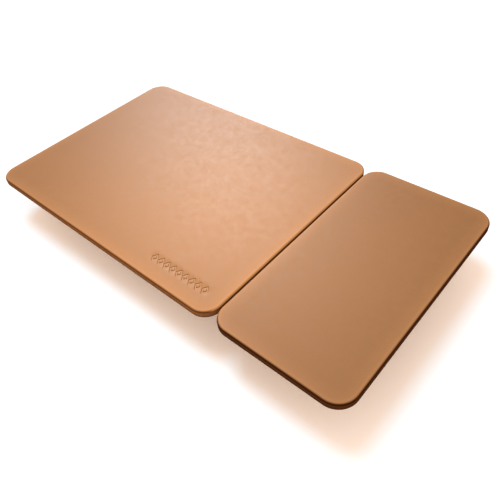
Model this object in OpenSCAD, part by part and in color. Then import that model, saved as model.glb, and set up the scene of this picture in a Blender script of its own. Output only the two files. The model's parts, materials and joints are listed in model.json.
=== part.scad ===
// Folding desk pad: a leather mouse-pad panel and a wireless charger panel joined along a fold.
// Millimetres. +X runs from the mouse pad to the charger, +Y to the back and +Z up.
// The origin is the bottom centre of the open pad, so the feet stand on z = 0.

/* [Panels] */
// Width of the mouse-pad panel
mouse_pad_w = 268; // [200:1:320]
// Width of the charger panel
charger_w = 106; // [104:1:140]
// Depth of both panels, front to back
depth = 200; // [200:1:260]
// Gap between the two panels along the fold
fold_gap = 1.4; // [0.6:0.1:3]
// Corner radius at the outer ends of the pad
outer_corner_r = 15; // [14:0.5:30]
// Corner radius beside the fold
fold_corner_r = 14; // [13:0.5:25]

/* [Skins] */
// Height of a panel's wrapped top skin
panel_h = 6.4; // [6.4:0.1:7]
// Thickness of the top skins
skin_t = 0.8; // [0.6:0.1:0.9]
// Thickness of the base skin
base_skin_t = 0.6; // [0.4:0.1:1]
// Distance from a panel's side to the edge of its base skin
base_skin_inset = 1.2; // [0.5:0.1:3]
// Radius of the top edges
top_edge_r = 1.6; // [1.4:0.1:2.2]
// Width of the hem turned in under the mouse pad
mouse_pad_hem_w = 12; // [8:0.5:13]
// Width of the hem turned in under the charger
charger_hem_w = 8; // [6:0.5:9]

/* [Mouse pad core] */
// Thickness of the stiff board
board_t = 1.6; // [1:0.1:2.4]

/* [Feet] */
// Diameter of a foot
foot_d = 10; // [6:0.5:16]
// Height of a foot
foot_h = 0.6; // [0.4:0.1:1.5]

/* [Decoration] */
// Number of debossed diamonds in the row at the mouse pad's front corner
diamond_count = 9; // [1:1:12]
// Width of one diamond
diamond_w = 5.2; // [3:0.1:5.6]
// Depth of the debossing
deboss_depth = 0.25; // [0.1:0.05:0.4]

/* [Charger] */
// Centre of the phone's charging zone, from the panel's fold side
phone_zone_x = 54; // [53:0.5:55]
// Centre of the phone's charging zone, from the panel's front
phone_zone_y = 140; // [130:0.5:140]
// Centre of the earbud case's charging zone, from the panel's front
earbud_zone_y = 37; // [34:0.5:45]
// Outer diameter of a charging coil
coil_od = 44; // [40:1:48]
// Turns in a charging coil
coil_turns = 10; // [6:1:12]
// Side of a square ferrite sheet
ferrite_side = 50; // [49:0.5:50]
// Centre of the inlet along the back edge, from the panel's fold side
inlet_x = 53; // [50:0.5:56]

/* [Hidden] */

$fn = 96;
// Overlap that lets a cut run clear of a face
over = 1;
// Free space around a piece that sits in a pocket or a hole
clearance = 0.05;

// Places across the pad
total_w = mouse_pad_w + fold_gap + charger_w;
left_x = -total_w / 2;
right_x = total_w / 2;
hinge_x = left_x + mouse_pad_w + fold_gap / 2;
mouse_pad_side_x = hinge_x - fold_gap / 2;
charger_side_x = hinge_x + fold_gap / 2;
front_y = -depth / 2;
back_y = depth / 2;

// Levels
base_z = foot_h;
panel_z = base_z + base_skin_t;
hem_top_z = panel_z + skin_t;
board_top_z = hem_top_z + board_t;
top_z = panel_z + panel_h;
core_top_z = top_z - skin_t;

// A panel is [low x, high x, corner radius at low x, corner radius at high x]
MOUSE_PAD = [left_x, mouse_pad_side_x, outer_corner_r, fold_corner_r];
CHARGER = [charger_side_x, right_x, fold_corner_r, outer_corner_r];

// Feet: distance of a foot's centre from the panel's sides
foot_inset = 20;

// Base skin across the fold
fold_strip_reach = 5;
half_split = 0.05;

// Row of diamonds, from the mouse pad's fold side and front
diamond_pitch = 5.8;
diamond_l = 6.6;
diamond_inner_share = 0.5;
diamond_row_end_x = 18;
diamond_row_y = 17;
square_sides = 4;

// Tray
tray_wall = 2;
tray_floor_top_z = hem_top_z + 0.8;
cover_plate_t = 0.6;
cover_z = core_top_z - cover_plate_t;
rib_t = 1.2;
rib_front_y = -12;
lead_channel_x = 91;

// Level that the coils, the leads and the board's parts stand on
deck_z = tray_floor_top_z + 1.4;
phone_x = charger_side_x + phone_zone_x;
phone_y = front_y + phone_zone_y;
earbud_y = front_y + earbud_zone_y;
PHONE_ZONE = [phone_x, phone_y];
EARBUD_ZONE = [phone_x, earbud_y];

// Coils, their leads and their temperature sensors
wire_d = 1.1;
wire_pitch = 1.3;
sensor_bead_d = 3;
sensor_bead_h = 1.1;
sensor_wire_d = 0.4;
sensor_wire_pitch = 0.6;
sensor_offset_x = 3;
lead_start = coil_od / 2 + clearance;
lead_bend_r = 3;
earbud_lead_turn_y = earbud_y + 32;
earbud_lead_run_x = charger_side_x + 84;
lead_notch_w = 10;

// Circuit board
board_x = charger_side_x + 24;
board_w = 70;
board_front_y = back_y - 32;
board_back_y = back_y - 4;
pcb_t = 1;
pcb_z = deck_z - pcb_t;
lead_end_y = board_front_y + 2;
screw_inset = 3.5;
screw_back_inset = 7.5;
screw_d = 1.6;
screw_head_d = 3.2;
screw_head_h = 0.8;
screw_bite = 1.5;
boss_d = 4.4;

// Chips and capacitors: height above the board, and places from the board's corner
chip_h = 0.9;
controller_side = 7;
power_chip_side = 5;
power_chip_xs = [14, 22, 46, 54];
chip_row_y = 12;
controller_chip_x = 34;
capacitor_w = 2.5;
capacitor_l = 3.2;
capacitor_h = 1.6;
capacitor_pitch = 3.4;
resonance_bank_xs = [12, 45];
resonance_bank_count = 4;
resonance_row_y = 5;
bulk_capacitor_xs = [48, 52, 56];
rear_row_y = 21;
inductor_side = 6.5;
inductor_h = 1.7;
inductor_x = 15;
inductor_lip = 0.3;
inductor_core_r = 2.4;

// USB-C receptacle: outside, opening and tongue
usb_w = 8.94;
usb_h = 3.26;
usb_l = 7.35;
usb_opening_w = 8.34;
usb_opening_h = 2.56;
usb_block_l = 1.8;
usb_tongue_w = 6.69;
usb_tongue_t = 0.7;
usb_tongue_recess = 0.65;
usb_face_recess = 0.15;
usb_cutout_w = 9.4;
usb_ear_l = 1.2;
usb_ear_w = 1;
usb_ear_t = 0.3;
usb_ear_ys = [0.2, 2.3];
inlet_z = 4.13;
usb_x = charger_side_x + inlet_x;
usb_back_y = back_y - usb_face_recess - usb_l;

// Bezel round the receptacle, and the light beside it
bezel_rim = 0.4;
bezel_w = usb_w + 2 * bezel_rim;
bezel_h = usb_h + 2 * bezel_rim;
bezel_l = 2.7;
bezel_face_recess = 0.1;
led_offset_x = 11;
led_x = usb_x + led_offset_x;
led_w = 1.6;
led_l = 0.8;
led_h = 0.6;
light_pipe_d = 1.4;
light_pipe_gap = 0.1;
light_pipe_recess = 0.05;

// ---- Shared shapes ----

// Section through a slab's rounded rim: reach is the distance from x = 0 to the outside
module rim_section(reach, z0, z1, r_top, r_bottom) {
    translate([0, z0 + r_bottom]) square([reach, z1 - z0 - r_top - r_bottom]);
    translate([0, z0]) square([reach - r_bottom, z1 - z0 - r_top]);
    translate([0, z1 - r_top - r_bottom]) square([reach - r_top, r_top + r_bottom]);
    translate([reach - r_top, z1 - r_top]) circle(r_top);
    if (r_bottom > 0) translate([reach - r_bottom, z0 + r_bottom]) circle(r_bottom);
}

// Plan of a panel, drawn in from its sides by inset
module panel_outline(panel, inset) {
    low_r = panel[2] - inset;
    high_r = panel[3] - inset;
    x0 = panel[0] + inset;
    x1 = panel[1] - inset;
    y0 = front_y + inset;
    y1 = back_y - inset;
    translate([x0 + low_r, y0]) square([x1 - x0 - low_r - high_r, y1 - y0]);
    translate([x0, y0 + low_r]) square([low_r, y1 - y0 - 2 * low_r]);
    translate([x1 - high_r, y0 + high_r]) square([high_r, y1 - y0 - 2 * high_r]);
    for (y = [y0 + low_r, y1 - low_r]) translate([x0 + low_r, y]) circle(low_r);
    for (y = [y0 + high_r, y1 - high_r]) translate([x1 - high_r, y]) circle(high_r);
}

// Flat plate in a panel's plan
module panel_plate(panel, inset, z0, z1) {
    translate([0, 0, z0]) linear_extrude(z1 - z0) panel_outline(panel, inset);
}

// Two corners and the straight side between them, facing +X from x = 0
module slab_side(r, half_depth, z0, z1, r_top, r_bottom) {
    translate([0, half_depth - r, 0]) rotate([90, 0, 0])
        linear_extrude(2 * (half_depth - r)) rim_section(r, z0, z1, r_top, r_bottom);
    for (end = [0, 1]) mirror([0, end, 0]) translate([0, half_depth - r, 0])
        rotate_extrude(angle = 90) rim_section(r, z0, z1, r_top, r_bottom);
}

// Panel-shaped slab with rounded top and bottom rims
module rounded_slab(panel, inset, z0, z1, r_top, r_bottom) {
    low_r = panel[2] - inset;
    high_r = panel[3] - inset;
    x0 = panel[0] + inset + low_r;
    x1 = panel[1] - inset - high_r;
    half_depth = depth / 2 - inset;
    for (side = [0, 1]) mirror([0, side, 0]) translate([x0, 0, 0]) rotate([90, 0, 90])
        linear_extrude(x1 - x0) rim_section(half_depth, z0, z1, r_top, r_bottom);
    translate([x0, 0, 0]) mirror([1, 0, 0])
        slab_side(low_r, half_depth, z0, z1, r_top, r_bottom);
    translate([x1, 0, 0]) slab_side(high_r, half_depth, z0, z1, r_top, r_bottom);
}

// The space inside a panel's top skin
module panel_core(panel, z0, z1) {
    intersection() {
        rounded_slab(panel, skin_t, hem_top_z, core_top_z, top_edge_r - skin_t, 0);
        panel_plate(panel, 0, z0, z1);
    }
}

// Top skin: over the top, down the sides and turned in below as a hem
module top_skin(panel, hem_w) {
    difference() {
        rounded_slab(panel, 0, panel_z, top_z, top_edge_r, skin_t);
        rounded_slab(panel, skin_t, hem_top_z, core_top_z, top_edge_r - skin_t, 0);
        panel_plate(panel, hem_w, panel_z - over, hem_top_z + over);
    }
}

// Base skin: the panel's plan, and the strip that carries it to the fold line
module base_skin(panel, strip_x0, strip_x1) {
    strip_half = depth / 2 - fold_corner_r;
    panel_plate(panel, base_skin_inset, base_z, panel_z);
    translate([strip_x0, -strip_half, base_z])
        cube([strip_x1 - strip_x0, 2 * strip_half, base_skin_t]);
}

// Feet in rows and columns under a panel
module feet(panel, columns) {
    x0 = panel[0] + foot_inset;
    step = (panel[1] - panel[0] - 2 * foot_inset) / (columns - 1);
    for (i = [0 : columns - 1], y = [front_y + foot_inset, back_y - foot_inset])
        translate([x0 + i * step, y, 0]) cylinder(d = foot_d, h = foot_h);
}

// Slot with round ends, w by h, run along Y
module slot_along_y(x, z, w, h, y0, y1) {
    translate([x, y1, z]) rotate([90, 0, 0]) linear_extrude(y1 - y0) {
        square([w - h, h], center = true);
        for (side = [-1, 1]) translate([side * (w - h) / 2, 0]) circle(d = h);
    }
}

// Flat coil: turns of round wire side by side
module coil(centre) {
    translate([centre[0], centre[1], deck_z + wire_d / 2]) rotate_extrude()
        for (turn = [0 : coil_turns - 1])
            translate([coil_od / 2 - wire_d / 2 - turn * wire_d, 0]) circle(d = wire_d + clearance);
}

module ferrite_sheet(centre) {
    translate([centre[0] - ferrite_side / 2, centre[1] - ferrite_side / 2, tray_floor_top_z])
        cube([ferrite_side, ferrite_side, deck_z - tray_floor_top_z - clearance]);
}

// Section through a pair of wires that lie side by side
module wire_pair(d, pitch) {
    for (side = [-1, 1]) translate([side * pitch / 2, 0]) circle(d = d);
}

// A pair of wires straight back from y0 to y1
module straight_pair(x, z, y0, y1, d, pitch) {
    translate([x, y1, z]) rotate([90, 0, 0]) linear_extrude(y1 - y0) wire_pair(d, pitch);
}

// A pair of wires back from y0, right along turn_y, and back again at run_x to y1
module stepped_pair(x, z, y0, turn_y, run_x, y1, d, pitch) {
    straight_pair(x, z, y0, turn_y - lead_bend_r, d, pitch);
    translate([x + lead_bend_r, turn_y - lead_bend_r, z]) rotate([0, 0, 90])
        rotate_extrude(angle = 90) translate([lead_bend_r, 0]) wire_pair(d, pitch);
    translate([x + lead_bend_r, turn_y, z]) rotate([90, 0, 90])
        linear_extrude(run_x - x - 2 * lead_bend_r) wire_pair(d, pitch);
    translate([run_x - lead_bend_r, turn_y + lead_bend_r, z]) rotate([0, 0, -90])
        rotate_extrude(angle = 90) translate([lead_bend_r, 0]) wire_pair(d, pitch);
    straight_pair(run_x, z, turn_y + lead_bend_r, y1, d, pitch);
}

// Bead in the middle of a coil
module sensor_bead(centre) {
    translate([centre[0], centre[1], deck_z]) cylinder(d = sensor_bead_d, h = sensor_bead_h);
}

// Block on the board, centred on a place given from the board's front left corner
module on_board(x, y, w, l, h) {
    translate([board_x + x - w / 2, board_front_y + y - l / 2, deck_z]) cube([w, l, h]);
}

// Puts its children at each of the board's four screws
module at_screws() {
    for (x = [board_x + screw_inset, board_x + board_w - screw_inset])
        for (y = [board_front_y + screw_inset, board_back_y - screw_back_inset])
            translate([x, y, 0]) children();
}

// ---- Mouse pad ----

// Diamond-shaped cutter of length l along Y, centred on the origin
module diamond(l) {
    scale([diamond_w / diamond_l, 1, 1]) cylinder(d = l, h = over, $fn = square_sides);
}

module mouse_pad_top_skin() {
    color("#d9a577") difference() {
        top_skin(MOUSE_PAD, mouse_pad_hem_w);
        for (i = [0 : diamond_count - 1])
            translate([mouse_pad_side_x - diamond_row_end_x - diamond_w / 2 - i * diamond_pitch,
                       front_y + diamond_row_y, top_z - deboss_depth])
                difference() {
                    diamond(diamond_l);
                    diamond(diamond_l * diamond_inner_share);
                }
    }
}

module mouse_pad_foam() {
    color("#b9b4aa") panel_core(MOUSE_PAD, board_top_z, core_top_z);
}

module mouse_pad_board() {
    color("#8b6a48") panel_core(MOUSE_PAD, hem_top_z, board_top_z);
}

// Levels the underside inside the hem
module mouse_pad_base_liner() {
    color("#a58a66") panel_plate(MOUSE_PAD, mouse_pad_hem_w, panel_z, hem_top_z);
}

module mouse_pad_base_skin() {
    color("#6f4524") base_skin(MOUSE_PAD, mouse_pad_side_x - fold_strip_reach, hinge_x - half_split);
}

module mouse_pad_feet() {
    color("#3a322c") feet(MOUSE_PAD, 3);
}

// ---- Charger shell ----

module charger_top_skin() {
    color("#d09a6a") difference() {
        top_skin(CHARGER, charger_hem_w);
        slot_along_y(usb_x, inlet_z, bezel_w + 2 * clearance, bezel_h + 2 * clearance,
                     back_y - skin_t - over, back_y + over);
        light_pipe_hole();
    }
}

module charger_cover_plate() {
    color("#e6e2da") panel_core(CHARGER, cover_z, core_top_z);
}

// Square wall round a ferrite sheet, with a gap at the back for the leads
module ferrite_fence(centre) {
    inside = ferrite_side + 2 * clearance;
    outside = inside + 2 * rib_t;
    translate([centre[0], centre[1], 0]) difference() {
        translate([-outside / 2, -outside / 2, tray_floor_top_z])
            cube([outside, outside, cover_z - tray_floor_top_z]);
        translate([-inside / 2, -inside / 2, tray_floor_top_z - over])
            cube([inside, inside, cover_z]);
        translate([sensor_offset_x / 2 - lead_notch_w / 2, 0, deck_z - clearance])
            cube([lead_notch_w, outside, cover_z]);
    }
}

// Rib that holds the cover plate up, from low corner to size across the tray
module rib(x, y, w, l) {
    translate([x, y, tray_floor_top_z]) cube([w, l, cover_z - tray_floor_top_z]);
}

module tray_ribs() {
    fence_half = ferrite_side / 2 + clearance + rib_t / 2;
    tray_x0 = charger_side_x + skin_t + tray_wall / 2;
    tray_x1 = right_x - skin_t - tray_wall / 2;
    channel_x = charger_side_x + lead_channel_x;
    for (y = [phone_y, rib_front_y, earbud_y]) {
        left_end_x = y == rib_front_y ? phone_x : phone_x - fence_half;
        right_start_x = y == earbud_y ? phone_x + fence_half : channel_x;
        rib(tray_x0, y - rib_t / 2, left_end_x - tray_x0, rib_t);
        rib(right_start_x, y - rib_t / 2, tray_x1 - right_start_x, rib_t);
    }
    rib(phone_x - rib_t / 2, rib_front_y - rib_t / 2, rib_t, phone_y - fence_half - rib_front_y);
    rib(phone_x - rib_t / 2, front_y + skin_t + tray_wall / 2, rib_t,
        earbud_y - fence_half - front_y - skin_t - tray_wall / 2);
}

module charger_tray() {
    color("#4a4a4c") difference() {
        union() {
            difference() {
                panel_core(CHARGER, hem_top_z, cover_z);
                panel_plate(CHARGER, skin_t + tray_wall, tray_floor_top_z, cover_z + over);
            }
            panel_plate(CHARGER, charger_hem_w, panel_z, tray_floor_top_z);
            ferrite_fence(PHONE_ZONE);
            ferrite_fence(EARBUD_ZONE);
            tray_ribs();
            at_screws() translate([0, 0, hem_top_z]) cylinder(d = boss_d, h = pcb_z - hem_top_z);
        }
        at_screws() translate([0, 0, pcb_z - screw_bite]) cylinder(d = screw_d, h = screw_bite + over);
        slot_along_y(usb_x, inlet_z, bezel_w + 2 * clearance, bezel_h + 2 * clearance,
                     back_y - skin_t - tray_wall - over, back_y);
        slot_along_y(usb_x, inlet_z, usb_w + 2 * clearance, usb_h + 2 * clearance,
                     usb_back_y - clearance, back_y);
        light_pipe_hole();
    }
}

module charger_base_skin() {
    color("#6f4524") base_skin(CHARGER, hinge_x + half_split, charger_side_x + fold_strip_reach);
}

module charger_feet() {
    color("#3a322c") feet(CHARGER, 2);
}

// ---- Coils ----

module phone_coil() {
    color("#b8703a") coil(PHONE_ZONE);
}

module phone_ferrite_sheet() {
    color("#3c3c40") ferrite_sheet(PHONE_ZONE);
}

module phone_coil_lead() {
    color("#b8703a") straight_pair(phone_x, deck_z + wire_d / 2, phone_y + lead_start, lead_end_y,
                                   wire_d, wire_pitch);
}

module phone_temperature_sensor() {
    color("#2f6f5a") {
        sensor_bead(PHONE_ZONE);
        sensor_wires(phone_y) straight_pair(phone_x + sensor_offset_x, 0, phone_y, lead_end_y,
                                            sensor_wire_d, sensor_wire_pitch);
    }
}

module earbud_coil() {
    color("#b8703a") coil(EARBUD_ZONE);
}

module earbud_ferrite_sheet() {
    color("#3c3c40") ferrite_sheet(EARBUD_ZONE);
}

module earbud_coil_lead() {
    color("#b8703a") stepped_pair(phone_x, deck_z + wire_d / 2, earbud_y + lead_start,
                                  earbud_lead_turn_y, earbud_lead_run_x, lead_end_y,
                                  wire_d, wire_pitch);
}

module earbud_temperature_sensor() {
    color("#2f6f5a") {
        sensor_bead(EARBUD_ZONE);
        sensor_wires(earbud_y) stepped_pair(phone_x + sensor_offset_x, 0, earbud_y,
                                            earbud_lead_turn_y - sensor_offset_x,
                                            earbud_lead_run_x + sensor_offset_x, lead_end_y,
                                            sensor_wire_d, sensor_wire_pitch);
    }
}

// Lifts a sensor's wires over the coil, and ties them to the bead
module sensor_wires(bead_y) {
    wire_z = deck_z + wire_d + sensor_wire_d;
    translate([0, 0, wire_z]) children();
    translate([phone_x, bead_y, deck_z + sensor_bead_h / 2])
        cube([sensor_offset_x + sensor_wire_pitch, sensor_wire_d, wire_z - deck_z - sensor_bead_h / 2]);
}

// ---- Electronics ----

module circuit_board() {
    color("#1f5a3a") difference() {
        translate([board_x, board_front_y, pcb_z])
            cube([board_w, board_back_y - board_front_y, pcb_t]);
        translate([usb_x - usb_cutout_w / 2, usb_back_y - clearance, pcb_z - over])
            cube([usb_cutout_w, usb_l, pcb_t + 2 * over]);
        at_screws() translate([0, 0, pcb_z - over])
            cylinder(d = screw_d + 2 * clearance, h = pcb_t + 2 * over);
    }
}

module board_screws() {
    color("#c9ccd0") at_screws() {
        translate([0, 0, pcb_z - screw_bite]) cylinder(d = screw_d, h = screw_bite + pcb_t);
        translate([0, 0, deck_z]) cylinder(d = screw_head_d, h = screw_head_h);
    }
}

module controller_chip() {
    color("#222222") on_board(controller_chip_x, chip_row_y, controller_side, controller_side, chip_h);
}

module power_stage_chips() {
    color("#222222") for (x = power_chip_xs)
        on_board(x, chip_row_y, power_chip_side, power_chip_side, chip_h);
}

module resonance_capacitors() {
    color("#b9925f") for (bank = resonance_bank_xs, i = [0 : resonance_bank_count - 1])
        on_board(bank + i * capacitor_pitch, resonance_row_y, capacitor_w, capacitor_l, capacitor_h);
}

module filter_inductor() {
    color("#4b4b4d") {
        on_board(inductor_x, rear_row_y, inductor_side, inductor_side, inductor_lip);
        translate([board_x + inductor_x, board_front_y + rear_row_y, deck_z])
            cylinder(r = inductor_core_r, h = inductor_h);
        translate([0, 0, inductor_h - inductor_lip])
            on_board(inductor_x, rear_row_y, inductor_side, inductor_side, inductor_lip);
    }
}

module bulk_capacitors() {
    color("#b9925f") for (x = bulk_capacitor_xs)
        on_board(x, rear_row_y, capacitor_w, capacitor_l, inductor_h);
}

module status_led() {
    color("#f4f4ee") translate([led_x - led_w / 2, board_back_y - led_l, deck_z])
        cube([led_w, led_l, led_h]);
}

// ---- Inlet ----

module light_pipe_hole() {
    translate([led_x, back_y + over, deck_z + led_h / 2]) rotate([90, 0, 0])
        cylinder(d = light_pipe_d + 2 * clearance, h = skin_t + tray_wall + 2 * over);
}

module led_light_pipe() {
    y0 = board_back_y + light_pipe_gap;
    color("#eeeeee") translate([led_x, back_y - light_pipe_recess, deck_z + led_h / 2])
        rotate([90, 0, 0]) cylinder(d = light_pipe_d, h = back_y - light_pipe_recess - y0);
}

module port_bezel() {
    face_y = back_y - bezel_face_recess;
    color("#3a2a1c") difference() {
        slot_along_y(usb_x, inlet_z, bezel_w, bezel_h, face_y - bezel_l, face_y);
        slot_along_y(usb_x, inlet_z, usb_w + 2 * clearance, usb_h + 2 * clearance,
                     face_y - bezel_l - over, face_y + over);
    }
}

module usb_c_shell() {
    color("#c4c6c9") {
        difference() {
            slot_along_y(usb_x, inlet_z, usb_w, usb_h, usb_back_y, usb_back_y + usb_l);
            slot_along_y(usb_x, inlet_z, usb_opening_w, usb_opening_h, usb_back_y - over, back_y + over);
        }
        for (side = [0, 1], y = usb_ear_ys)
            translate([usb_x, usb_back_y + y, deck_z]) mirror([side, 0, 0])
                translate([usb_w / 2 - usb_ear_t, 0, 0]) cube([usb_ear_l, usb_ear_w, usb_ear_t]);
    }
}

module usb_c_tongue() {
    tongue_l = usb_l - usb_block_l - usb_tongue_recess;
    color("#1c1c1e") {
        slot_along_y(usb_x, inlet_z, usb_opening_w, usb_opening_h, usb_back_y, usb_back_y + usb_block_l);
        translate([usb_x - usb_tongue_w / 2, usb_back_y, inlet_z - usb_tongue_t / 2])
            cube([usb_tongue_w, usb_block_l + tongue_l, usb_tongue_t]);
    }
}

mouse_pad_top_skin();
mouse_pad_foam();
mouse_pad_board();
mouse_pad_base_liner();
mouse_pad_base_skin();
mouse_pad_feet();
charger_top_skin();
charger_cover_plate();
charger_tray();
charger_base_skin();
charger_feet();
phone_coil();
phone_ferrite_sheet();
phone_coil_lead();
phone_temperature_sensor();
earbud_coil();
earbud_ferrite_sheet();
earbud_coil_lead();
earbud_temperature_sensor();
circuit_board();
board_screws();
controller_chip();
power_stage_chips();
resonance_capacitors();
filter_inductor();
bulk_capacitors();
status_led();
led_light_pipe();
port_bezel();
usb_c_shell();
usb_c_tongue();
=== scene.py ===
"""Folding desk pad with a wireless charger: the looks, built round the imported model.

Metres, in the model's own frame: +X runs from the mouse pad to the charger, +Y to the back,
+Z up, and the feet stand on z = 0.
"""

import json
import math
from collections import namedtuple

import bmesh
import bpy
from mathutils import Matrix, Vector, geometry, noise


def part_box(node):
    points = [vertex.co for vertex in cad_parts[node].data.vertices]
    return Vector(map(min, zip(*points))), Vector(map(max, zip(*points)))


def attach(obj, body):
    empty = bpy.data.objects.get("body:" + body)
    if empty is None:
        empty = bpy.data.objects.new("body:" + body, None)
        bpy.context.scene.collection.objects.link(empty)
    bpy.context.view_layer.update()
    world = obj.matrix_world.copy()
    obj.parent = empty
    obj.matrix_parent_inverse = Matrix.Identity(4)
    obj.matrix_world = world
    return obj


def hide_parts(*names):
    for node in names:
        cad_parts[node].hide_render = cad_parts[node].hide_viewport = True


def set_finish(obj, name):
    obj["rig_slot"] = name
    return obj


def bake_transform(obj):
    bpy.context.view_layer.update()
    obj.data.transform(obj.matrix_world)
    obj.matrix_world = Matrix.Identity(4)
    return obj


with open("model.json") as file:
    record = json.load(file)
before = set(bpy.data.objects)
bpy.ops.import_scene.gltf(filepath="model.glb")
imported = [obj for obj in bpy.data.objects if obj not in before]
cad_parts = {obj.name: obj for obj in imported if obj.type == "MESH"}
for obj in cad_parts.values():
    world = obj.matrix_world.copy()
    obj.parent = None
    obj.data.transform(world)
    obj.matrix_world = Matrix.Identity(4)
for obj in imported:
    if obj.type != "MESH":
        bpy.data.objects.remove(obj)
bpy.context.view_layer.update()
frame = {"nodes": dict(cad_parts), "record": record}

MM = 0.001

# ---- Sizes that the frame's boxes don't give ----

OUTER_CORNER_R = 15 * MM
FOLD_CORNER_R = 14 * MM
CORNER_STEPS = 14
SIDE_STEP = 6 * MM

SKIN_T = 0.78 * MM
TOP_EDGE_R = 1.6 * MM
BOTTOM_EDGE_R = 0.8 * MM
MOUSE_PAD_HEM_W = 12 * MM
CHARGER_HEM_W = 8 * MM
CROWN_W = 12 * MM
UNEVEN_MARGIN = 14 * MM
FOLD_REACH = 2.3 * MM
FOLD_FADE = 1.5 * MM
# How far up the top edge's arc the sides' dye and painted shade reach: low in the fold, higher on the
# outer sides.
FOLD_DYE_SHADE_CLIMB = 0.1
SIDE_DYE_SHADE_CLIMB = 0.52
DYE_SHADE_FADE = 0.25

PIECE_GAP = 0.02 * MM
FIT_GAP = 0.05 * MM

DIAMOND_COUNT = 9
DIAMOND_PITCH = 6.5 * MM
DIAMOND_W = 5.8 * MM
DIAMOND_L = 8 * MM
DIAMOND_INNER_SHARE = 0.5
DIAMOND_ROW_END_X = 15 * MM
DIAMOND_ROW_Y = 17 * MM
DEBOSS_DEPTH = 0.3 * MM
DEBOSS_WALL = 0.2 * MM

BASE_INSET = 1.2 * MM
BASE_STEP = 8 * MM
BEND_STEP = 0.28 * MM
STRIP_REACH = 5 * MM
BASE_EDGE_R = 0.12 * MM

FLOOR_Z = -37 * MM

Panel = namedtuple("Panel", "x0 x1 y0 y1 r0 r1 bottom top")
Top = namedtuple("Top", "panel crown uneven diamonds")
Surface = namedtuple("Surface", "points traits faces ring")


def panel_of(node, low_x_r, high_x_r):
    """A panel's box and its corner radii, from the CAD node of its top skin."""
    low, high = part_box(node)
    return Panel(low.x, high.x, low.y, high.y, low_x_r, high_x_r, low.z, high.z)


MOUSE_PAD = panel_of("mouse_pad_top_skin", OUTER_CORNER_R, FOLD_CORNER_R)
CHARGER = panel_of("charger_top_skin", FOLD_CORNER_R, OUTER_CORNER_R)
HINGE_X = (MOUSE_PAD.x1 + CHARGER.x0) / 2
FIRST_DIAMOND = Vector((MOUSE_PAD.x1 - DIAMOND_ROW_END_X - DIAMOND_W / 2, MOUSE_PAD.y0 + DIAMOND_ROW_Y))
DIAMONDS = [FIRST_DIAMOND - Vector((i * DIAMOND_PITCH, 0)) for i in range(DIAMOND_COUNT)]
MOUSE_PAD_TOP = Top(MOUSE_PAD, crown=0.3 * MM, uneven=0.03 * MM, diamonds=DIAMONDS)
CHARGER_TOP = Top(CHARGER, crown=0.02 * MM, uneven=0.015 * MM, diamonds=[])


# ---- Camera, lights and floor ----

def make_camera():
    data = bpy.data.cameras.new("camera")
    data.sensor_width = 36
    data.lens = 36.93
    camera = bpy.data.objects.new("camera", data)
    camera.location = (0.2516, -0.2184, 0.2765)
    camera.rotation_euler = [math.radians(angle) for angle in (44.183, 4.837, 40.986)]
    bpy.context.scene.collection.objects.link(camera)
    bpy.context.scene.camera = camera


def add_light(name, kind, place, size, strength, colour=(1, 1, 1), diffuse=True, gloss=True):
    """Light that faces the object and isn't seen itself. size is a box's side or a sun's angle."""
    data = bpy.data.lights.new(name, kind)
    data.energy = strength
    data.color = colour
    if kind == "SUN":
        data.angle = size
    else:
        data.size = size
    light = bpy.data.objects.new(name, data)
    light.location = place
    light.rotation_euler = (-Vector(place)).to_track_quat("-Z", "Y").to_euler()
    light.visible_camera = False
    light.visible_diffuse = diffuse
    light.visible_glossy = gloss
    bpy.context.scene.collection.objects.link(light)


def make_lights():
    """A warm surround, a cooler broad light overhead, a soft box near the pad and two for its gloss."""
    world = bpy.data.worlds.new("studio")
    world.use_nodes = True
    background = world.node_tree.nodes["Background"]
    background.inputs["Color"].default_value = (1, 0.8, 0.67, 1)
    background.inputs["Strength"].default_value = 1.25
    bpy.context.scene.world = world
    add_light("broad_light", "SUN", (-0.32, 0.1, 1), math.radians(20), 1.4, (0.17, 0.66, 1))
    add_light("near_box", "AREA", (0.03, -0.04, 0.2), 0.15, 0.44, gloss=False)
    add_light("gloss_box", "AREA", (-0.47, 0.44, 0.53), 0.35, 29, diffuse=False)
    add_light("far_gloss_box", "AREA", (-0.7, 0.7, 0.53), 0.35, 4, diffuse=False)
    bpy.context.scene.view_settings.view_transform = "Standard"


def make_floor():
    size = 3
    z = FLOOR_Z
    floor = mesh_object("floor", [(-size, -size, z), (size, -size, z), (size, size, z), (-size, size, z)],
                        [(0, 1, 2, 3)])
    paint = Paint("floor", Base_Color=(0.88, 0.88, 0.88), Roughness=0.9, Specular_IOR_Level=0,
                  Emission_Color=(0.11, 0.09, 0.07), Emission_Strength=1)
    use(floor, paint.material)


# ---- Mesh helpers ----

def mesh_object(name, points, faces):
    mesh = bpy.data.meshes.new(name)
    mesh.from_pydata([tuple(p) for p in points], [], faces)
    mesh.validate()
    obj = bpy.data.objects.new(name, mesh)
    bpy.context.scene.collection.objects.link(obj)
    return obj


def with_bmesh(obj, change):
    """Passes the object's mesh through change, a function of a bmesh."""
    bm = bmesh.new()
    bm.from_mesh(obj.data)
    change(bm)
    bm.to_mesh(obj.data)
    bm.free()


def modify(obj, kind, **settings):
    """Adds a modifier and keeps the shape that it makes as the object's own mesh."""
    modifier = obj.modifiers.new(kind.lower(), kind)
    for setting, value in settings.items():
        setattr(modifier, setting, value)
    evaluated = obj.evaluated_get(bpy.context.evaluated_depsgraph_get())
    mesh = bpy.data.meshes.new_from_object(evaluated)
    obj.modifiers.clear()
    obj.data = mesh


def shade_smooth(obj, crease=35):
    """Smooth shading that keeps edges sharper than crease degrees crisp."""
    def mark(bm):
        for face in bm.faces:
            face.smooth = True
        for edge in bm.edges:
            edge.smooth = len(edge.link_faces) != 2 or edge.calc_face_angle(0) < math.radians(crease)
    with_bmesh(obj, mark)


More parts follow.
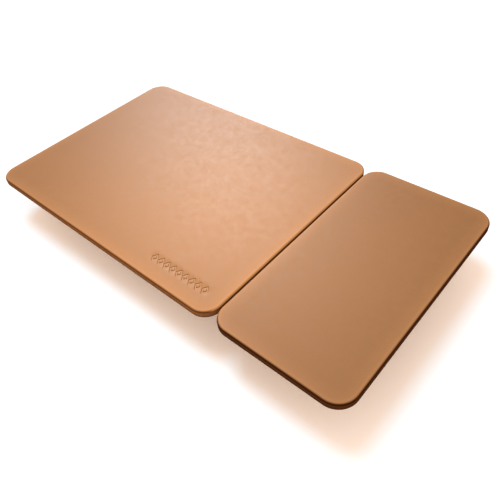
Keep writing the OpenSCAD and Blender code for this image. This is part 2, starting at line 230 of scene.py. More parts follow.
def join_into_quads(obj):
    with_bmesh(obj, lambda bm: bmesh.ops.join_triangles(
        bm, faces=[f for f in bm.faces if len(f.verts) == 3], angle_face_threshold=0.2,
        angle_shape_threshold=0.9))


def ring_faces(rings, count, first=0):
    """Quads between rings of count points each, stored one after the other from first."""
    return [(first + r * count + i, first + r * count + (i + 1) % count,
             first + (r + 1) * count + (i + 1) % count, first + (r + 1) * count + i)
            for r in range(rings - 1) for i in range(count)]


def fill_flat(border, loops, inside):
    """Triangulates a flat region from its border, closed loops in it and single points.
    Gives all the points, the border's first and in order, and the faces."""
    points = list(border)
    edges = [(i, (i + 1) % len(border)) for i in range(len(border))]
    for loop in loops:
        first = len(points)
        points += loop
        edges += [(first + i, first + (i + 1) % len(loop)) for i in range(len(loop))]
    points += inside
    _, _, triangles, origins, _, _ = geometry.delaunay_2d_cdt(points, edges, [], 1, 1e-8)
    return points, [[origins[v][0] for v in triangle] for triangle in triangles]


# ---- Plans of the panels ----

def outline_parts(panel, inset):
    """A panel's plan, drawn in from its sides by inset, anticlockwise: the arc of the front corner at
    high x, the side after it, the next arc, and so on. Every inset gives the same number of points."""
    right, left = panel.x1 - panel.r1, panel.x0 + panel.r0
    arcs = []
    for x, y, r, start in ((right, panel.y0 + panel.r1, panel.r1, -90),
                           (right, panel.y1 - panel.r1, panel.r1, 0),
                           (left, panel.y1 - panel.r0, panel.r0, 90),
                           (left, panel.y0 + panel.r0, panel.r0, 180)):
        angles = [math.radians(start + 90 * i / CORNER_STEPS) for i in range(CORNER_STEPS + 1)]
        arcs.append([Vector((x + (r - inset) * math.cos(a), y + (r - inset) * math.sin(a)))
                     for a in angles])
    lengths = [panel.y1 - panel.y0, right - left, panel.y1 - panel.y0, right - left]
    parts = []
    for arc, following, length in zip(arcs, arcs[1:] + arcs[:1], lengths):
        count = round(length / SIDE_STEP)
        parts += [arc, [arc[-1].lerp(following[0], n / count) for n in range(1, count)]]
    return parts


def outline(panel, inset):
    return [point for part in outline_parts(panel, inset) for point in part]


def side_distance(panel, x, y):
    """Distance of a point from the panel's outline, positive inside."""
    r = panel.r1 if x > (panel.x0 + panel.x1) / 2 else panel.r0
    dx, dy = min(x - panel.x0, panel.x1 - x), min(y - panel.y0, panel.y1 - y)
    if dx < r and dy < r:
        return r - math.hypot(r - dx, r - dy)
    return min(dx, dy)


def grid_points(panel, margin, step):
    """Points of a grid over the panel that are more than margin from its outline."""
    columns, rows = round((panel.x1 - panel.x0) / step), round((panel.y1 - panel.y0) / step)
    points = [Vector((panel.x0 + (panel.x1 - panel.x0) * i / columns,
                      panel.y0 + (panel.y1 - panel.y0) * j / rows))
              for i in range(1, columns) for j in range(1, rows)]
    return [p for p in points if side_distance(panel, p.x, p.y) > margin]


# ---- Diamonds pressed into the mouse pad ----

def diamond_size(reach):
    """Half width and half length of the diamond at a distance reach outside a groove's middle line."""
    share = (1 + DIAMOND_INNER_SHARE) / 2
    w, l = DIAMOND_W / 2 * share, DIAMOND_L / 2 * share
    grow = 1 + reach * math.hypot(w, l) / (w * l)
    return w * grow, l * grow


def diamond_loop(centre, reach):
    w, l = diamond_size(reach)
    tips = [Vector((w, 0)), Vector((0, l)), Vector((-w, 0)), Vector((0, -l))]
    steps = 4
    return [centre + tip.lerp(following, i / steps)
            for tip, following in zip(tips, tips[1:] + tips[:1]) for i in range(steps)]


def groove_reach(diamonds, x, y):
    """Distance of a point from the middle line of the nearest diamond's groove."""
    centre = min(diamonds, key=lambda c: abs(c.x - x))
    w, l = diamond_size(0)
    return abs(abs(x - centre.x) / w + abs(y - centre.y) / l - 1) * w * l / math.hypot(w, l)


def groove_half_w():
    w, l = DIAMOND_W / 2, DIAMOND_L / 2
    return (1 - DIAMOND_INNER_SHARE) / 2 * w * l / math.hypot(w, l)


# ---- Leather tops ----

def ease(t):
    t = min(max(t, 0), 1)
    return t * t * (3 - 2 * t)


def crown_drop(inset, crown):
    """How far the top lies below its highest level at a distance inset from the side."""
    return crown * max(0, 1 - inset / CROWN_W) ** 2


def groove_depth(diamonds, x, y):
    """How far a point is pressed in: 0 on the plain leather and 1 on a groove's floor."""
    if not diamonds:
        return 0
    return ease((groove_half_w() + DEBOSS_WALL - groove_reach(diamonds, x, y)) / (2 * DEBOSS_WALL))


def top_level(top, x, y, diamonds):
    """Height of the leather's surface: crowned, a little uneven, and pressed in at the diamonds."""
    inset = side_distance(top.panel, x, y)
    broad_size, small_size = 45 * MM, 16 * MM
    broad = noise.noise(Vector((x / broad_size, y / broad_size, 0)))
    small = noise.noise(Vector((x / small_size, y / small_size, 5)))
    uneven = top.uneven * (0.5 + 0.35 * broad + 0.15 * small) * ease(inset / UNEVEN_MARGIN)
    return (top.panel.top - crown_drop(inset, top.crown) - uneven
            - DEBOSS_DEPTH * groove_depth(diamonds, x, y))


def edge_profile(top, drop, low, start):
    """Section through a panel's rim: the points of start, the top edge's arc, and the crowned shoulder.
    A point is (inset, z, climb, rim). climb goes from 0 below the arc to 1 above it, and rim, the weight
    of the painted highlight, which is 1 at the arc's end, fades over the shoulder."""
    r = TOP_EDGE_R - drop
    slope = math.atan(2 * top.crown * (1 - TOP_EDGE_R / CROWN_W) / CROWN_W)
    end = math.pi / 2 - slope
    arc_end = TOP_EDGE_R * (1 - math.cos(end))
    centre_z = top.panel.top - crown_drop(arc_end, top.crown) - TOP_EDGE_R * math.sin(end)
    points = start + [(drop, low + (centre_z - low) * share, 0, 1) for share in (0.33, 0.66)]
    steps = 9
    for i in range(steps + 1):
        a = end * i / steps
        points.append((TOP_EDGE_R - r * math.cos(a), centre_z + r * math.sin(a), i / steps, 1))
    # Weights of the painted highlight over the shoulder.
    shoulder = [(2.1, 0.8), (2.9, 0.55), (4, 0.4), (5.5, 0.3), (7.5, 0.2), (9.7, 0.08), (12, 0)]
    return points + [(inset * MM, None, 1, rim) for inset, rim in shoulder]


def panel_surface(top, drop, profile, diamonds):
    """The profile's rings come first, one after the other. A point's traits are (side, rim, pressed):
    side is 1 where the leather is dyed and painted with shade, which starts lower down in the fold,
    rim is 1 where the painted highlight is strongest, and pressed is 1 on a groove's floor."""
    points, traits = [], []

    def add(p, z, climb, rim):
        points.append((p.x, p.y, top_level(top, p.x, p.y, diamonds) - drop if z is None else z))
        off_fold = ease((abs(p.x - HINGE_X) - FOLD_REACH) / FOLD_FADE)
        # Dye and painted shade on the sides climb less far up the arc in the fold.
        dye_shade_climb = FOLD_DYE_SHADE_CLIMB + (SIDE_DYE_SHADE_CLIMB - FOLD_DYE_SHADE_CLIMB) * off_fold
        side = 1 - ease((climb - dye_shade_climb) / DYE_SHADE_FADE)
        # Painted highlight along the rim.
        rim_highlight = rim * max(0, 1 - (1 - climb) * (1 + 4 * off_fold))
        traits.append((side, rim_highlight, groove_depth(diamonds, p.x, p.y)))

    for inset, z, climb, rim in profile:
        ring = outline(top.panel, inset)
        for p in ring:
            add(p, z, climb, rim)
    loops = [diamond_loop(centre, sign * (groove_half_w() + wall * DEBOSS_WALL))
             for centre in diamonds for sign in (-1, 1) for wall in (-1, -0.4, 0.4, 1)]
    inside = [p for p in grid_points(top.panel, profile[-1][0] + SIDE_STEP / 2, SIDE_STEP)
              if not diamonds or groove_reach(diamonds, p.x, p.y) > groove_half_w() + SIDE_STEP / 4]
    flat_points, flat_faces = fill_flat(ring, loops, inside)
    for p in flat_points[len(ring):]:
        add(p, None, 1, 0)
    first = (len(profile) - 1) * len(ring)
    faces = ring_faces(len(profile), len(ring)) + [[first + v for v in face] for face in flat_faces]
    return Surface(points, traits, faces, len(ring))


def wrapped_leather(name, top, hem_w):
    """Leather over a panel's top, down its sides and turned in below as a hem."""
    bottom = top.panel.bottom
    start = [(hem_w, bottom, 0, 1), (hem_w / 2, bottom, 0, 1)]
    steps = 5
    for i in range(steps + 1):
        a = math.pi / 2 * i / steps
        inset, rise = BOTTOM_EDGE_R * (1 - math.sin(a)), BOTTOM_EDGE_R * (1 - math.cos(a))
        start.append((inset, bottom + rise, 0, 1))
    outside = panel_surface(top, 0, edge_profile(top, 0, bottom + BOTTOM_EDGE_R, start), top.diamonds)
    low = bottom + SKIN_T
    start = [(inset, low, 0, 1) for inset in (hem_w, hem_w / 2, SKIN_T)]
    inside = panel_surface(top, SKIN_T, edge_profile(top, SKIN_T, low, start), [])
    first, count = len(outside.points), outside.ring
    hem_edge = [(first + i, first + (i + 1) % count, (i + 1) % count, i) for i in range(count)]
    faces = outside.faces + [[first + v for v in reversed(face)] for face in inside.faces] + hem_edge
    skin = mesh_object(name, outside.points + inside.points, faces)
    for title, values in zip(("side", "rim", "pressed"), zip(*outside.traits, *inside.traits)):
        skin.data.attributes.new(title, "FLOAT", "POINT").data.foreach_set("value", values)
    join_into_quads(skin)
    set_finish(skin, "top_leather")
    return skin


def slot_cutter(node):
    """Slot with round ends along Y, through the back wall, that clears the CAD node in it."""
    low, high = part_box(node)
    middle = (low + high) / 2
    r = (high.z - low.z) / 2 + FIT_GAP
    reach = (high.x - low.x) / 2 + FIT_GAP - r
    count = 32
    angles = [(i + 0.5) * 2 * math.pi / count for i in range(count)]
    points = [(middle.x + math.copysign(reach, math.cos(a)) + r * math.cos(a), y,
               middle.z + r * math.sin(a))
              for y in (CHARGER.y1 + SKIN_T, CHARGER.y1 - 2 * SKIN_T) for a in angles]
    faces = ring_faces(2, count) + [tuple(reversed(range(count))), tuple(range(count, 2 * count))]
    return mesh_object("cutter", points, faces)


def dye_and_shade_slots(skin):
    """Marks the points that the slots' cutters made as dyed and painted with shade, like the rest of the
    back wall.
    """
    side = skin.data.attributes["side"].data
    for vertex in skin.data.vertices:
        if vertex.co.y > CHARGER.y1 - 2 * SKIN_T - PIECE_GAP and vertex.co.z < CHARGER.top - TOP_EDGE_R:
            side[vertex.index].value = 1


def make_mouse_pad_leather():
    skin = wrapped_leather("mouse_pad_leather", MOUSE_PAD_TOP, MOUSE_PAD_HEM_W)
    shade_smooth(skin)
    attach(skin, "mouse_pad")
    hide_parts("mouse_pad_top_skin")
    return skin


def make_charger_leather():
    skin = wrapped_leather("charger_leather", CHARGER_TOP, CHARGER_HEM_W)
    for node in ("port_bezel", "led_light_pipe"):
        cutter = slot_cutter(node)
        modify(skin, "BOOLEAN", operation="DIFFERENCE", solver="EXACT", object=cutter)
        bpy.data.objects.remove(cutter)
    dye_and_shade_slots(skin)
    shade_smooth(skin)
    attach(skin, "charger")
    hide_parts("charger_top_skin")
    return skin


def make_foam_layer():
    """Foam under the mouse pad's leather, with the same crown."""
    drop = SKIN_T + PIECE_GAP
    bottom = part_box("mouse_pad_foam")[0].z
    profile = edge_profile(MOUSE_PAD_TOP, drop, bottom, [(drop, bottom, 0, 1)])
    surface = panel_surface(MOUSE_PAD_TOP, drop, profile, [])
    underside = list(reversed(range(surface.ring)))
    foam = mesh_object("foam_layer", surface.points, surface.faces + [underside])
    join_into_quads(foam)
    shade_smooth(foam)
    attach(foam, "mouse_pad")
    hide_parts("mouse_pad_foam")
    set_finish(foam, "foam")
    return foam


# ---- Base leather, which is also the hinge ----

def base_outline():
    """Plan of both panels, a little in from their sides, and of the strip that joins them."""
    arc0, _, arc1, back, arc2, left, arc3, front = outline_parts(MOUSE_PAD, BASE_INSET)
    far_parts = outline_parts(CHARGER, BASE_INSET)
    far_arc0, right, far_arc1, far_back, far_arc2, _, far_arc3, far_front = far_parts
    notch_r = (far_arc3[0].x - arc0[-1].x) / 2
    steps = 8
    notches = []
    for start, turn in ((arc0[-1], 1), (far_arc2[-1], -1)):
        angles = [math.pi * i / steps for i in range(1, steps)]
        notches.append([Vector((HINGE_X - turn * notch_r * math.cos(a),
                                start.y + turn * notch_r * math.sin(a))) for a in angles])
    return (arc1 + back + arc2 + left + arc3 + front + arc0 + notches[0] + far_arc3 + far_front
            + far_arc0 + right + far_arc1 + far_back + far_arc2 + notches[1])


def make_base_leather():
    low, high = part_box("mouse_pad_base_skin")
    strip_half = (MOUSE_PAD.y1 - MOUSE_PAD.y0) / 2 - FOLD_CORNER_R
    row_steps, end_margin = 28, 3 * MM
    rows = [(2 * j / row_steps - 1) * (strip_half - end_margin) for j in range(row_steps + 1)]
    columns = round(STRIP_REACH / BEND_STEP)
    bend = [Vector((HINGE_X + i * BEND_STEP, y)) for i in range(-columns, columns + 1) for y in rows]
    margin = 2 * BASE_INSET + SIDE_STEP / 2
    rest = [p for panel in (MOUSE_PAD, CHARGER) for p in grid_points(panel, margin, BASE_STEP)
            if abs(p.x - HINGE_X) > STRIP_REACH + BASE_STEP / 4]
    flat_points, faces = fill_flat(base_outline(), [], bend + rest)
    top = high.z - PIECE_GAP
    base = mesh_object("base_leather", [(p.x, p.y, top) for p in flat_points], faces)
    join_into_quads(base)
    modify(base, "SOLIDIFY", thickness=top - low.z, offset=-1)
    modify(base, "BEVEL", width=BASE_EDGE_R, segments=2, limit_method="ANGLE")
    shade_smooth(base)
    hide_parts("mouse_pad_base_skin", "charger_base_skin")
    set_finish(base, "base_leather")
    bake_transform(base)
    return base


# ---- Rubber feet and the port's contacts ----

def make_feet(name, node, body, columns):
    """Moulded feet in a panel's rows and columns, each with two shallow grooves that grip."""
    low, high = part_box(node)
    foot_r, h = 5 * MM, high.z
    sink, mouth_half, floor_half = 0.15 * MM, 0.35 * MM, 0.15 * MM
    profile = [(foot_r, h), (foot_r, 0.3 * h), (foot_r - 0.1 * MM, 0.1 * h), (foot_r - 0.3 * MM, 0)]
    for groove_r in (3.6 * MM, 2.2 * MM):
        profile += [(groove_r + mouth_half, 0), (groove_r + floor_half, sink),
                    (groove_r - floor_half, sink), (groove_r - mouth_half, 0)]
    steps = 48
    points, faces = [], []
    for i in range(columns):
        x = low.x + foot_r + (high.x - low.x - 2 * foot_r) * i / (columns - 1)
        for y in (low.y + foot_r, high.y - foot_r):
            first = len(points)
            for radius, z in profile:
                points += [(x + radius * math.cos(2 * math.pi * s / steps),
                            y + radius * math.sin(2 * math.pi * s / steps), z) for s in range(steps)]
            faces += ring_faces(len(profile), steps, first)
            faces += [tuple(first + s for s in range(steps)),
                      tuple(first + (len(profile) - 1) * steps + s for s in reversed(range(steps)))]
    feet = mesh_object(name, points, faces)
    with_bmesh(feet, lambda bm: bmesh.ops.recalc_face_normals(bm, faces=bm.faces))
    shade_smooth(feet)
    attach(feet, body)
    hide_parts(node)
    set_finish(feet, "foot_rubber")
    return feet


def make_contacts():
    """Gold contacts on both sides of the receptacle's tongue."""
    low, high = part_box("usb_c_tongue")
    tongue_t = 0.7 * MM
    middle = (low + high) / 2
    pitch, width, thickness = 0.5 * MM, 0.28 * MM, 0.05 * MM
    length, end_gap = 3 * MM, 0.6 * MM
    near_y, far_y = high.y - end_gap - length, high.y - end_gap
    count = 12
    points, faces = [], []
    for i in range(count):
        x = middle.x + (i - (count - 1) / 2) * pitch
        for side in (-1, 1):
            z0 = middle.z + side * tongue_t / 2
            z1 = z0 + side * thickness
            first = len(points)
            points += [(x + sx * width / 2 * share, y, z) for z, share in ((z0, 1), (z1, 0.8))
                       for sx, y in ((-1, near_y), (1, near_y), (1, far_y), (-1, far_y))]
            faces += [tuple(first + v for v in (4, 5, 6, 7))] + ring_faces(2, 4, first)
            faces.append(tuple(first + v for v in (3, 2, 1, 0)))
    contacts = mesh_object("usb_c_contacts", points, faces)
    with_bmesh(contacts, lambda bm: bmesh.ops.recalc_face_normals(bm, faces=bm.faces))
    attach(contacts, "charger")
    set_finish(contacts, "coil_wire")
    return contacts


# ---- Materials ----

TAN = (0.268, 0.117, 0.04)
CHARGER_SHADE = 0.84
# Colours of the sides: a darker dye with painted shade in it, the charger's darkest.
MOUSE_PAD_DYE_AND_SHADE = (0.18, 0.068, 0.022)
CHARGER_DYE_AND_SHADE = (0.062, 0.02, 0.006)


class Paint:
    """A material being made. Values go on sockets by name, and a value that is a socket is linked."""

    def __init__(self, name, **values):
        self.material = bpy.data.materials.new(name)
        self.material.use_nodes = True
        self.tree = self.material.node_tree
        self.shader = self.tree.nodes["Principled BSDF"]
        self.place = self.node("TexCoord").outputs["Object"]
        self.shade(**values)

    def put(self, socket, value):
        if isinstance(value, bpy.types.NodeSocket):
            self.tree.links.new(value, socket)
        elif socket.type == "RGBA":
            socket.default_value = (*value, 1)
        else:
            socket.default_value = value

    def shade(self, **values):
        for name, value in values.items():
            self.put(self.shader.inputs[name.replace("_", " ")], value)

    def node(self, kind, values=None, **settings):
        node = self.tree.nodes.new("ShaderNode" + kind)
        for name, value in settings.items():
            setattr(node, name, value)
        for name, value in (values or {}).items():
            self.put(node.inputs[name], value)
        return node

    def noise(self, size, detail=2.0, stretch=(1, 1, 1)):
        """Cloudy values about 0.5, with features of about size."""
        place = self.node("Mapping", {"Vector": self.place, "Scale": stretch}).outputs["Vector"]
        values = {"Vector": place, "Scale": 1 / size, "Detail": detail}
        return self.node("TexNoise", values).outputs["Fac"]

    def cells(self, size, feature="DISTANCE_TO_EDGE", metric="EUCLIDEAN"):
        """Values over cells of about size: 0 at their edges, or at their middles with feature F1."""
        node = self.node("TexVoronoi", {"Vector": self.place, "Scale": 1 / size}, feature=feature)
        if feature == "F1":
            node.distance = metric
        return node.outputs["Distance"]

    def ranged(self, value, low, high, to_low=0.0, to_high=1.0):
        return self.node("MapRange", {"Value": value, "From Min": low, "From Max": high, "To Min": to_low,
                                      "To Max": to_high}).outputs["Result"]

    def math(self, operation, a, b):
        node = self.node("Math", operation=operation)
        for socket, value in zip(node.inputs, (a, b)):
            self.put(socket, value)
        return node.outputs[0]

    def mix(self, factor, a, b):
        """Colour a where factor is 0 and b where it is 1."""
        return self.node("MixRGB", {"Fac": factor, "Color1": a, "Color2": b}).outputs["Color"]

    def relief(self, height, depth):
        """Adds to the bump: height from 0 to 1 stands for depth."""
        values = {"Height": height, "Distance": depth}
        old = self.shader.inputs["Normal"].links
        if old:
            values["Normal"] = old[0].from_socket
        self.shade(Normal=self.node("Bump", values).outputs["Normal"])


def scaled(colour, share):
    return tuple(share * c for c in colour)


def make_top_leather(name, tan, edge):
    """Smooth leather: fine pebbles with painted shade in their valleys, faint clouds, a painted highlight
    along the rim and on the grooves' floors, painted shade on the grooves' sloping sides, and dye with
    painted shade where the sides begin."""
    paint = Paint(name, Specular_IOR_Level=0.06)
    cloud = paint.noise(45 * MM, 3.0)
    mottle = paint.noise(5 * MM, 5.0)
    pebble = paint.cells(0.7 * MM)
    side = paint.node("Attribute", attribute_name="side").outputs["Fac"]
    rim = paint.node("Attribute", attribute_name="rim").outputs["Fac"]
    pressed = paint.node("Attribute", attribute_name="pressed").outputs["Fac"]
    # Mask of painted shade on the grooves' sloping sides.
    wall_shade = paint.math("MULTIPLY", pressed, paint.math("SUBTRACT", 1, pressed))
    colour = paint.mix(paint.ranged(cloud, 0.35, 0.65), scaled(tan, 0.98), scaled(tan, 1.01))
    colour = paint.mix(paint.ranged(mottle, 0.35, 0.7), colour, scaled(tan, 1.04))
    # Painted shade in the pebbles' valleys.
    colour = paint.mix(paint.ranged(pebble, 0, 0.16, 0.3, 0), colour, scaled(tan, 0.7))
    # Painted highlight along the rim.
    colour = paint.mix(paint.ranged(rim, 0, 1, 0, 0.65), colour, scaled(tan, 1.45))
    # Painted highlight on the grooves' floors.
    colour = paint.mix(paint.ranged(pressed, 0, 1, 0, 0.5), colour, scaled(tan, 1.45))
    # Painted shade on the grooves' sloping sides.
    colour = paint.mix(paint.ranged(wall_shade, 0, 0.2), colour, scaled(tan, 0.2))
    # Dye and painted shade on the sides.
    colour = paint.mix(side, colour, scaled(edge, 0.6))
    paint.shade(Base_Color=colour, Roughness=paint.ranged(mottle, 0.3, 0.7, 0.48, 0.56))
    paint.relief(mottle, 0.012 * MM)
    paint.relief(paint.ranged(pebble, 0, 0.25), 0.02 * MM)
    return paint.material


def make_dyed_shaded_edge(name, edge):
    """Matt dyed sides of the wrapped leather with painted shade: streaked along the outline, and paler
    half way up because painted shade darkens them towards the top and bottom.
    """
    paint = Paint(name, Specular_IOR_Level=0)
    streaks = paint.noise(0.8 * MM, 3.0, stretch=(0.15, 0.15, 1))
    blotches = paint.noise(4 * MM, 4.0)
    z = paint.node("SeparateXYZ", {"Vector": paint.place}).outputs["Z"]
    above = paint.ranged(z, MOUSE_PAD.bottom + 1.2 * MM, MOUSE_PAD.bottom + 2.1 * MM)
    below = paint.ranged(z, MOUSE_PAD.top - 1.9 * MM, MOUSE_PAD.top - 1.3 * MM, 1, 0)
    colour = paint.mix(paint.ranged(streaks, 0.35, 0.65), scaled(edge, 0.9), scaled(edge, 1.15))
    # Painted shade: the sides darken towards their top and bottom.
    colour = paint.mix(paint.math("MULTIPLY", above, below), scaled(edge, 0.4), colour)
    colour = paint.mix(paint.ranged(blotches, 0.5, 0.75, 0, 0.4), colour, scaled(edge, 0.7))
    paint.shade(Base_Color=colour, Roughness=paint.ranged(blotches, 0.3, 0.7, 0.7, 0.85))
    paint.relief(streaks, 0.03 * MM)
    return paint.material


def finish_leather(skin, tan, edge):
    """The leather's material on top, and the dyed one with painted shade wherever the side value is full.
    """
    full = 0.99
    use(skin, make_top_leather(skin.name, tan, edge))
    skin.data.materials.append(make_dyed_shaded_edge(skin.name + "_edge", edge))
    side = [entry.value for entry in skin.data.attributes["side"].data]
    for face in skin.data.polygons:
        face.material_index = int(min(side[v] for v in face.vertices) > full)


def make_base_leather_finish(colour):
    """Soft suede-like leather: short nap in patches, with fine fibres."""
    paint = Paint("base_leather", Specular_IOR_Level=0.25, Sheen_Weight=0.15, Sheen_Roughness=0.5)
    nap = paint.noise(22 * MM, 3.0)
    fibres = paint.noise(0.5 * MM, 4.0)
    tone = paint.mix(paint.ranged(nap, 0.35, 0.65), scaled(colour, 0.92), scaled(colour, 1.08))
    tone = paint.mix(paint.ranged(fibres, 0.4, 0.7, 0, 0.4), tone, scaled(colour, 1.6))
    paint.shade(Base_Color=tone, Roughness=paint.ranged(nap, 0.3, 0.7, 0.8, 0.92))
    paint.relief(fibres, 0.06 * MM)
    return paint.material


def make_grained(name, colour, size, depth, roughness, spread=0.2, **values):
    """A moulded or cast finish: fine grain in colour, relief and roughness over faint clouds."""
    paint = Paint(name, **values)
    grain = paint.noise(size, 3.0)
    cloud = paint.noise(30 * MM, 2.0)
    tone = paint.mix(paint.ranged(cloud, 0.3, 0.7), scaled(colour, 1 - spread / 2),
                     scaled(colour, 1 + spread / 2))
    tone = paint.mix(paint.ranged(grain, 0.35, 0.7, 0, 0.5), tone, scaled(colour, 1 + spread))
    swing = 0.08
    paint.shade(Base_Color=tone,
                Roughness=paint.ranged(grain, 0.3, 0.7, roughness - swing, roughness + swing))
    paint.relief(grain, depth)
    return paint.material


def make_fibrous(name, colour, fleck):
    """Board pressed from fibres that lie mostly along X."""
    paint = Paint(name, Specular_IOR_Level=0.2)
    fibres = paint.noise(0.6 * MM, 4.0, stretch=(0.25, 1, 1))
    flecks = paint.noise(2.2 * MM, 2.0, stretch=(0.4, 1, 1))
    tone = paint.mix(paint.ranged(fibres, 0.35, 0.65), scaled(colour, 0.7), scaled(colour, 1.25))
    tone = paint.mix(paint.ranged(flecks, 0.62, 0.7, 0, 0.7), tone, fleck)
    paint.shade(Base_Color=tone, Roughness=paint.ranged(fibres, 0.3, 0.7, 0.78, 0.95))
    paint.relief(fibres, 0.08 * MM)
    return paint.material


def make_foam_finish(colour):
    """Open-cell foam: round pores with painted shade in their middles."""
    paint = Paint("foam", Specular_IOR_Level=0.1)
    pores = paint.cells(0.7 * MM, "F1")
    # Painted shade in the pores' middles.
    tone = paint.mix(paint.ranged(pores, 0.05, 0.5), scaled(colour, 0.45), scaled(colour, 1.15))
    paint.shade(Base_Color=tone, Roughness=paint.ranged(pores, 0, 0.6, 0.98, 0.85))
    paint.relief(paint.ranged(pores, 0, 0.5), 0.2 * MM)
    return paint.material


def make_brushed(name, colour, roughness, stretch):
    """Bare metal with fine lines along one axis, and the odd dull patch."""
    paint = Paint(name, Metallic=1)
    lines = paint.noise(0.12 * MM, 3.0, stretch)
    patches = paint.noise(3 * MM, 3.0)
    tone = paint.mix(paint.ranged(lines, 0.3, 0.7), scaled(colour, 0.85), scaled(colour, 1.1))
    rough = paint.math("ADD", paint.ranged(lines, 0.3, 0.7, roughness - 0.06, roughness + 0.06),
                       paint.ranged(patches, 0.5, 0.7, 0, 0.12))
    paint.shade(Base_Color=tone, Roughness=rough)
    paint.relief(lines, 0.01 * MM)
    return paint.material


def make_coil_wire(colour):
    """Enamelled strands twisted into a wire, seen as fine diagonal lines with painted shade between the
    strands.
    """
    paint = Paint("coil_wire", Metallic=1, Coat_Weight=0.4, Coat_Roughness=0.2)
    strands = paint.node("TexWave", {"Vector": paint.place, "Scale": 1 / (3.2 * MM), "Distortion": 1.5},
                         bands_direction="DIAGONAL").outputs["Fac"]
    stain = paint.noise(5 * MM, 3.0)
    # Painted shade between the strands.
    tone = paint.mix(paint.ranged(strands, 0, 0.5), scaled(colour, 0.35), colour)
    tone = paint.mix(paint.ranged(stain, 0.45, 0.7, 0, 0.5), tone, scaled(colour, 0.7))
    paint.shade(Base_Color=tone, Roughness=paint.ranged(stain, 0.3, 0.7, 0.25, 0.42))
    paint.relief(strands, 0.05 * MM)
    return paint.material


def make_ferrite(colour):
    """Brittle ferrite: a mosaic of cracked plates under a film."""
    paint = Paint("ferrite", Metallic=0.4, Coat_Weight=0.2, Coat_Roughness=0.3)
    plates = paint.cells(2.6 * MM)
    specks = paint.noise(0.4 * MM, 3.0)
    tone = paint.mix(paint.ranged(plates, 0, 0.05), scaled(colour, 0.3), colour)
    tone = paint.mix(paint.ranged(specks, 0.5, 0.75, 0, 0.5), tone, scaled(colour, 2.2))
    paint.shade(Base_Color=tone, Roughness=paint.ranged(specks, 0.3, 0.7, 0.35, 0.5))
    paint.relief(paint.ranged(plates, 0, 0.06), 0.03 * MM)
    return paint.material


def make_laminate(colour):
    """Solder mask over copper tracks, which stand a little proud and show lighter."""
    paint = Paint("board_laminate", Coat_Weight=0.3, Coat_Roughness=0.15)
    tracks = paint.ranged(paint.cells(3.4 * MM, "F1", "CHEBYCHEV"), 0.3, 0.34)
    weave = paint.noise(0.35 * MM, 2.0)
    tone = paint.mix(tracks, scaled(colour, 0.8), scaled(colour, 1.9))
    tone = paint.mix(paint.ranged(weave, 0.4, 0.7, 0, 0.25), tone, scaled(colour, 2.6))
    paint.shade(Base_Color=tone, Roughness=paint.ranged(weave, 0.3, 0.7, 0.3, 0.42))
    paint.relief(tracks, 0.03 * MM)
    return paint.material


def make_capacitor(name, node, colour, end_colour):
    """Ceramic body with a tinned cap on each end, along Y."""
    low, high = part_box(node)
    cap = 0.55 * MM
    paint = Paint(name)
    y = paint.node("SeparateXYZ", {"Vector": paint.place}).outputs["Y"]
    off_middle = paint.math("ABSOLUTE", paint.math("SUBTRACT", y, (low.y + high.y) / 2), 0)
    reach = (high.y - low.y) / 2 - cap
    ends = paint.ranged(off_middle, reach, reach + 0.05 * MM)
    grain = paint.noise(0.3 * MM, 3.0)
    body = paint.mix(paint.ranged(grain, 0.35, 0.65), scaled(colour, 0.85), scaled(colour, 1.15))
    paint.shade(Base_Color=paint.mix(ends, body, end_colour), Metallic=ends,
                Roughness=paint.ranged(grain, 0.3, 0.7, 0.3, 0.45))
    paint.relief(grain, 0.01 * MM)
    return paint.material


def use(obj, material):
    obj.data.materials.clear()
    obj.data.materials.append(material)


def record_colours():
    return {entry["slot"]: tuple(entry["base_color"]) for entry in frame["record"]["materials"]}


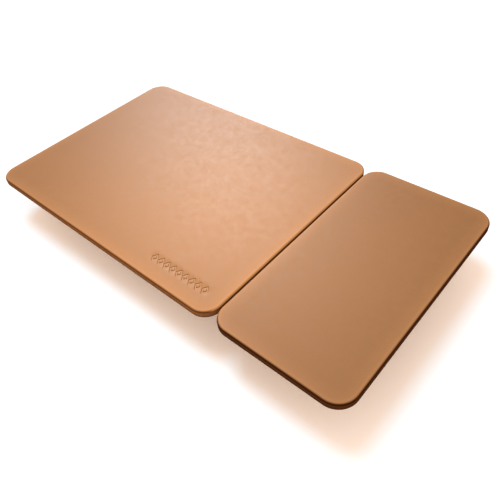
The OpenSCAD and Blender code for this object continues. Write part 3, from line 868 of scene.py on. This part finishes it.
def slot_materials():
    """One material for each of the record's slots, apart from the leather of the tops, and one for the
    bulk capacitors, whose ends lie elsewhere."""
    colour = record_colours()
    tin = (0.7, 0.7, 0.68)
    board_fleck, liner_fleck = (0.45, 0.33, 0.2), (0.2, 0.12, 0.06)

    def grained(slot, size, depth, roughness, spread=0.2, **values):
        return make_grained(slot, colour[slot], size * MM, depth * MM, roughness, spread, **values)

    def capacitor(name, node):
        return make_capacitor(name, node, colour["capacitor_ceramic"], tin)

    return {
        "base_leather": make_base_leather_finish(colour["base_leather"]),
        "foam": make_foam_finish(colour["foam"]),
        "fibre_board": make_fibrous("fibre_board", colour["fibre_board"], board_fleck),
        "liner_board": make_fibrous("liner_board", colour["liner_board"], liner_fleck),
        "foot_rubber": grained("foot_rubber", 0.25, 0.03, 0.8),
        "cover_plastic": grained("cover_plastic", 0.4, 0.02, 0.5, 0.08),
        "tray_plastic": grained("tray_plastic", 0.3, 0.025, 0.55),
        "coil_wire": make_coil_wire(colour["coil_wire"]),
        "ferrite": make_ferrite(colour["ferrite"]),
        "sensor_resin": grained("sensor_resin", 0.6, 0.02, 0.2, 0.5, Coat_Weight=0.6),
        "board_laminate": make_laminate(colour["board_laminate"]),
        "screw_steel": make_brushed("screw_steel", colour["screw_steel"], 0.32, (1, 1, 0.1)),
        "chip_resin": grained("chip_resin", 0.12, 0.01, 0.6, 0.6),
        "capacitor_ceramic": capacitor("capacitor_ceramic", "resonance_capacitors"),
        "bulk_capacitors": capacitor("bulk_ceramic", "bulk_capacitors"),
        "led_resin": grained("led_resin", 0.2, 0.01, 0.2, 0.15, Subsurface_Weight=0.3,
                             Subsurface_Scale=0.5 * MM),
        "light_pipe_plastic": grained("light_pipe_plastic", 0.15, 0.01, 0.3, 0.1,
                                      Transmission_Weight=0.5, IOR=1.49),
        "bezel_plastic": grained("bezel_plastic", 0.18, 0.015, 0.45),
        "shell_steel": make_brushed("shell_steel", colour["shell_steel"], 0.28, (1, 0.05, 1)),
    }


def paint_pieces(pieces):
    """Gives every piece and every shown CAD node its material."""
    materials = slot_materials()
    shown = [node for node in frame["nodes"].values() if not node.hide_render]
    for node in shown:
        slot = node.material_slots[0].material.name
        use(node, materials.get(node.name, materials[slot]))
    for piece in pieces:
        use(piece, materials[piece["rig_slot"]])


make_camera()
make_lights()
make_floor()

mouse_pad_leather = make_mouse_pad_leather()
charger_leather = make_charger_leather()
paint_pieces([
    make_foam_layer(),
    make_base_leather(),
    make_feet("mouse_pad_rubber_feet", "mouse_pad_feet", "mouse_pad", 3),
    make_feet("charger_rubber_feet", "charger_feet", "charger", 2),
    make_contacts(),
])
finish_leather(mouse_pad_leather, TAN, MOUSE_PAD_DYE_AND_SHADE)
finish_leather(charger_leather, scaled(TAN, CHARGER_SHADE), CHARGER_DYE_AND_SHADE)
